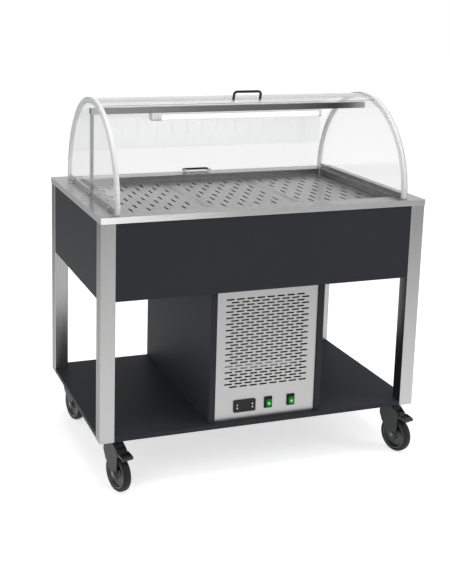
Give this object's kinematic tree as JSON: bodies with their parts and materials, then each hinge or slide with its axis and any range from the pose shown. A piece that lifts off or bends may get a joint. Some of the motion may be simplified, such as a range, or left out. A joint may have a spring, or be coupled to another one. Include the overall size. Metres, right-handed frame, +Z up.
{
  "type": "refrigerated buffet trolley",
  "caption": "Mobile cold buffet: laminated body on braked casters, steel well with perforated base plates, lit clear roll-top dome, storage bays and a machine cabinet with a slotted grille.",
  "frame": {"origin": "on the floor, under the middle of the whole outline", "axes": "+X along the worktop to the right of someone standing at the front, +Y from the front to the back, +Z up"},
  "size_m": [1.15, 0.7448, 1.273],
  "materials": {
    "stainless": "fine brushed sheet",
    "aluminium": "satin",
    "zinc": "zinc plated",
    "laminate": "matt laminated board",
    "board": "plain board",
    "foam": "rigid foam",
    "copper": "drawn copper tube",
    "acrylic": "clear polished",
    "acrylic_strip": "clear, sawn edges",
    "white_plastic": "smooth",
    "diffuser": "opal",
    "black_plastic": "fine grained",
    "grip_black": "smooth",
    "key_white": "smooth",
    "lens_green": "lit lens",
    "pot_black": "enamel",
    "fan_grey": "powder coated",
    "fan_blade": "pressed sheet",
    "fins": "fin block",
    "caster_grey": "moulded nylon",
    "tyre_black": "rubber tyre on a plastic centre"
  },
  "bodies": {
    "trolley": {"legs_front": "aluminium", "legs_rear": "aluminium", "worktop_rim": "stainless", "well_tub": "stainless", "well_insulation": "foam", "evaporator_coil": "copper", "panel_front": "laminate", "panel_rear": "laminate", "panel_left": "laminate", "panel_right": "laminate", "underside_panel": "board", "frame_rails": "stainless", "end_rails": "aluminium", "end_panel_left": "acrylic", "end_panel_right": "acrylic", "guide_strips": "acrylic_strip", "lamp_post": "aluminium", "lamp_bar": "aluminium", "lamp_housing": "white_plastic", "lamp_diffuser": "diffuser", "bottom_shelf": "laminate", "cabinet_side_left": "laminate", "cabinet_side_right": "laminate", "cabinet_back": "stainless", "grille_panel": "stainless", "controller": "black_plastic", "switch_frames": "black_plastic", "machine_tray": "zinc", "compressor": "pot_black", "condenser": "fins", "fan_motor": "fan_grey", "refrigerant_lines": "copper", "cable_gland": "black_plastic", "caster_plates": "zinc", "screws": "zinc"},
    "base_plate_1": {"base_plate_1": "stainless"},
    "base_plate_2": {"base_plate_2": "stainless"},
    "base_plate_3": {"base_plate_3": "stainless"},
    "front_shell": {"front_shell": "acrylic", "handle_front": "grip_black"},
    "rear_shell": {"rear_shell": "acrylic", "handle_rear": "grip_black"},
    "key_1": {"key_1": "key_white"},
    "key_2": {"key_2": "key_white"},
    "key_3": {"key_3": "key_white"},
    "key_4": {"key_4": "key_white"},
    "rocker_1": {"rocker_1": "lens_green"},
    "rocker_2": {"rocker_2": "lens_green"},
    "fan_blades": {"fan_blades": "fan_blade"},
    "fork_fl": {"fork_fl": "caster_grey"},
    "wheel_fl": {"wheel_fl": "tyre_black"},
    "fork_fr": {"fork_fr": "caster_grey"},
    "wheel_fr": {"wheel_fr": "tyre_black"},
    "fork_rl": {"fork_rl": "caster_grey"},
    "wheel_rl": {"wheel_rl": "tyre_black"},
    "fork_rr": {"fork_rr": "caster_grey"},
    "wheel_rr": {"wheel_rr": "tyre_black"},
    "pedal_fl": {"pedal_fl": "caster_grey"},
    "pedal_fr": {"pedal_fr": "caster_grey"}
  },
  "joints": [
    {"name": "base_plate_1_lift", "type": "slide", "parent": "trolley", "child": "base_plate_1", "axis": [0, 0, 1], "range_m": [0, 0.15]},
    {"name": "base_plate_2_lift", "type": "slide", "parent": "trolley", "child": "base_plate_2", "axis": [0, 0, 1], "range_m": [0, 0.15]},
    {"name": "base_plate_3_lift", "type": "slide", "parent": "trolley", "child": "base_plate_3", "axis": [0, 0, 1], "range_m": [0, 0.15]},
    {"name": "front_shell_roll", "type": "hinge", "parent": "trolley", "child": "front_shell", "pos_m": [0, 0.02238, 0.926], "axis": [1, 0, 0], "range_deg": [0, 71.5]},
    {"name": "rear_shell_roll", "type": "hinge", "parent": "trolley", "child": "rear_shell", "pos_m": [0, 0.02238, 0.926], "axis": [1, 0, 0], "range_deg": [0, 15]},
    {"name": "key_1_press", "type": "slide", "parent": "trolley", "child": "key_1", "axis": [0, 1, 0], "range_m": [0, 0.0008], "stiffness_N_per_m": 400},
    {"name": "key_2_press", "type": "slide", "parent": "trolley", "child": "key_2", "axis": [0, 1, 0], "range_m": [0, 0.0008], "stiffness_N_per_m": 400},
    {"name": "key_3_press", "type": "slide", "parent": "trolley", "child": "key_3", "axis": [0, 1, 0], "range_m": [0, 0.0008], "stiffness_N_per_m": 400},
    {"name": "key_4_press", "type": "slide", "parent": "trolley", "child": "key_4", "axis": [0, 1, 0], "range_m": [0, 0.0008], "stiffness_N_per_m": 400},
    {"name": "rocker_1_tilt", "type": "hinge", "parent": "trolley", "child": "rocker_1", "pos_m": [0.022, -0.30562, 0.24], "axis": [1, 0, 0], "range_deg": [0, 14]},
    {"name": "rocker_2_tilt", "type": "hinge", "parent": "trolley", "child": "rocker_2", "pos_m": [0.1055, -0.30562, 0.24], "axis": [1, 0, 0], "range_deg": [0, 14]},
    {"name": "fan_spin", "type": "hinge", "parent": "trolley", "child": "fan_blades", "pos_m": [0.0105, -0.1256, 0.4725], "axis": [0, 1, 0], "continuous": true},
    {"name": "swivel_fl", "type": "hinge", "parent": "trolley", "child": "fork_fl", "pos_m": [-0.515, -0.27062, 0.1], "axis": [0, 0, 1], "continuous": true},
    {"name": "roll_fl", "type": "hinge", "parent": "fork_fl", "child": "wheel_fl", "pos_m": [-0.50465, -0.30925, 0.0625], "axis": [0.9659, 0.2588, 0], "continuous": true},
    {"name": "brake_fl", "type": "hinge", "parent": "fork_fl", "child": "pedal_fl", "pos_m": [-0.50206, -0.31891, 0.141], "axis": [0.9659, 0.2588, 0], "range_deg": [0, 12]},
    {"name": "swivel_fr", "type": "hinge", "parent": "trolley", "child": "fork_fr", "pos_m": [0.515, -0.27062, 0.1], "axis": [0, 0, 1], "continuous": true},
    {"name": "roll_fr", "type": "hinge", "parent": "fork_fr", "child": "wheel_fr", "pos_m": [0.52535, -0.30925, 0.0625], "axis": [0.9659, 0.2588, 0], "continuous": true},
    {"name": "brake_fr", "type": "hinge", "parent": "fork_fr", "child": "pedal_fr", "pos_m": [0.52794, -0.31891, 0.141], "axis": [0.9659, 0.2588, 0], "range_deg": [0, 12]},
    {"name": "swivel_rl", "type": "hinge", "parent": "trolley", "child": "fork_rl", "pos_m": [-0.515, 0.31538, 0.1], "axis": [0, 0, 1], "continuous": true},
    {"name": "roll_rl", "type": "hinge", "parent": "fork_rl", "child": "wheel_rl", "pos_m": [-0.50668, 0.27626, 0.0625], "axis": [0.9781, 0.2079, 0], "continuous": true},
    {"name": "swivel_rr", "type": "hinge", "parent": "trolley", "child": "fork_rr", "pos_m": [0.515, 0.31538, 0.1], "axis": [0, 0, 1], "continuous": true},
    {"name": "roll_rr", "type": "hinge", "parent": "fork_rr", "child": "wheel_rr", "pos_m": [0.52332, 0.27626, 0.0625], "axis": [0.9781, 0.2079, 0], "continuous": true}
  ]
}
